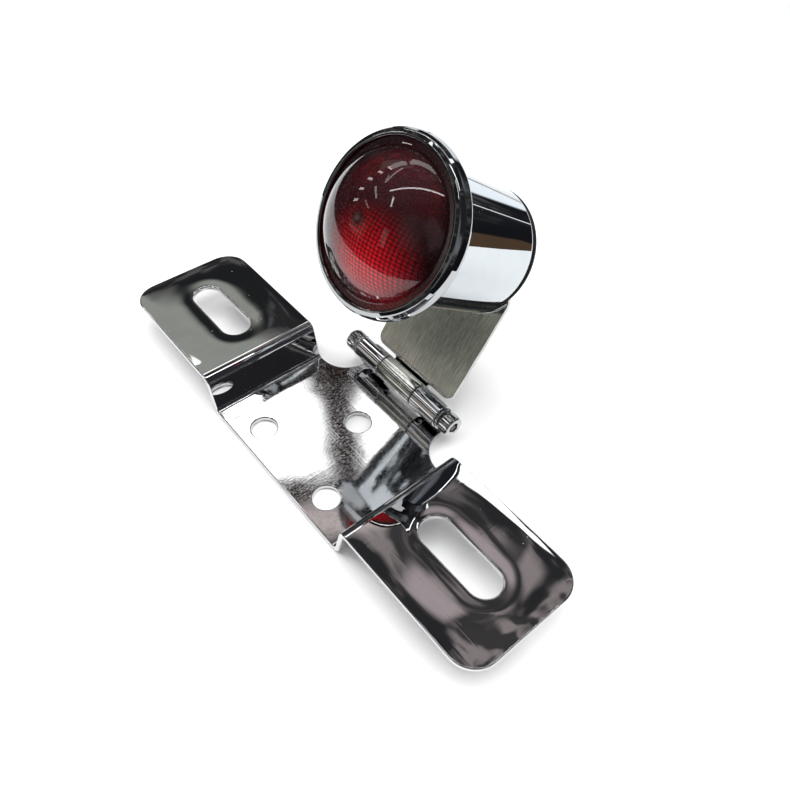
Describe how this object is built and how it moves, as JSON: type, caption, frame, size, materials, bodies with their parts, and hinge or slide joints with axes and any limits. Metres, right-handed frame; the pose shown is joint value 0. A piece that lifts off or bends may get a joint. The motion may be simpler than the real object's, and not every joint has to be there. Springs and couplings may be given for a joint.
{
  "type": "motorcycle tail light on hinged licence plate bracket",
  "caption": "Round chrome tail lamp with a domed red lens on a tilting leaf, hinged to a winged licence plate bracket with obround slots.",
  "frame": {"origin": "under the middle of the centre plate, on the face that bolts to the motorcycle", "axes": "+X along the bracket's wings, +Y from the front edge towards the hinge, +Z out of the plate face"},
  "size_m": [0.209, 0.1102, 0.1146],
  "materials": {
    "chrome_plate": "bright chrome plating over a polished stamping",
    "leaf_chrome": "chrome plating over a finely brushed sheet",
    "chrome_body": "mirror chrome",
    "hardware": "plated socket screws, nuts and washers",
    "spring_steel": "bright spring steel",
    "brass": "bright brass",
    "red_lens": "transparent red acrylic, gloss outside, prism grid inside",
    "bulb_glass": "clear glass",
    "reflector": "bright spun aluminium",
    "socket_steel": "zinc plated steel",
    "rubber": "black moulded rubber",
    "phenolic": "brown phenolic board",
    "tungsten": "drawn tungsten wire"
  },
  "bodies": {
    "bracket": {"plate_bracket": "chrome_plate"},
    "lamp": {"lamp_bracket": "leaf_chrome", "hinge_screw_right": "hardware", "hinge_screw_left": "hardware", "hinge_washer_right": "spring_steel", "hinge_washer_left": "spring_steel", "rear_pad": "rubber", "lamp_housing": "chrome_body", "bezel": "chrome_body", "lens_gasket": "rubber", "lens": "red_lens", "reflector": "reflector", "bulb_socket": "socket_steel", "contact_plate": "phenolic", "wire_grommet": "rubber", "contact_spring_1": "spring_steel", "contact_spring_2": "spring_steel", "mount_bolt_1": "socket_steel", "mount_bolt_2": "socket_steel", "mount_lock_washer_1": "spring_steel", "mount_lock_washer_2": "spring_steel", "mount_nut_1": "socket_steel", "mount_nut_2": "socket_steel"},
    "bulb": {"bulb_cap": "brass", "bulb_base_insulator": "phenolic", "bulb_glass": "bulb_glass", "bulb_stem": "bulb_glass", "filament_stop": "tungsten", "filament_tail": "tungsten", "bulb_contact_1": "socket_steel", "bulb_contact_2": "socket_steel"},
    "plunger_1": {"contact_plunger_1": "brass"},
    "plunger_2": {"contact_plunger_2": "brass"}
  },
  "joints": [
    {"name": "lamp_tilt", "type": "hinge", "parent": "bracket", "child": "lamp", "pos_m": [0, 0.037, 0.0116], "axis": [1, 0, 0], "range_deg": [-56, 62]},
    {"name": "bulb_press", "type": "slide", "parent": "lamp", "child": "bulb", "axis": [0, 0.829, -0.5592], "range_m": [0, 0.0018], "stiffness_N_per_m": 4000, "springref_m": -0.002},
    {"name": "plunger_1_press", "type": "slide", "parent": "lamp", "child": "plunger_1", "axis": [0, 0.829, -0.5592], "range_m": [0, 0.0018], "deforming": ["contact_spring_1"]},
    {"name": "plunger_2_press", "type": "slide", "parent": "lamp", "child": "plunger_2", "axis": [0, 0.829, -0.5592], "range_m": [0, 0.0018], "deforming": ["contact_spring_2"]}
  ],
  "couplings": [
    {"joint": "plunger_1_press", "follows": "bulb_press", "ratio": 1},
    {"joint": "plunger_2_press", "follows": "bulb_press", "ratio": 1}
  ]
}
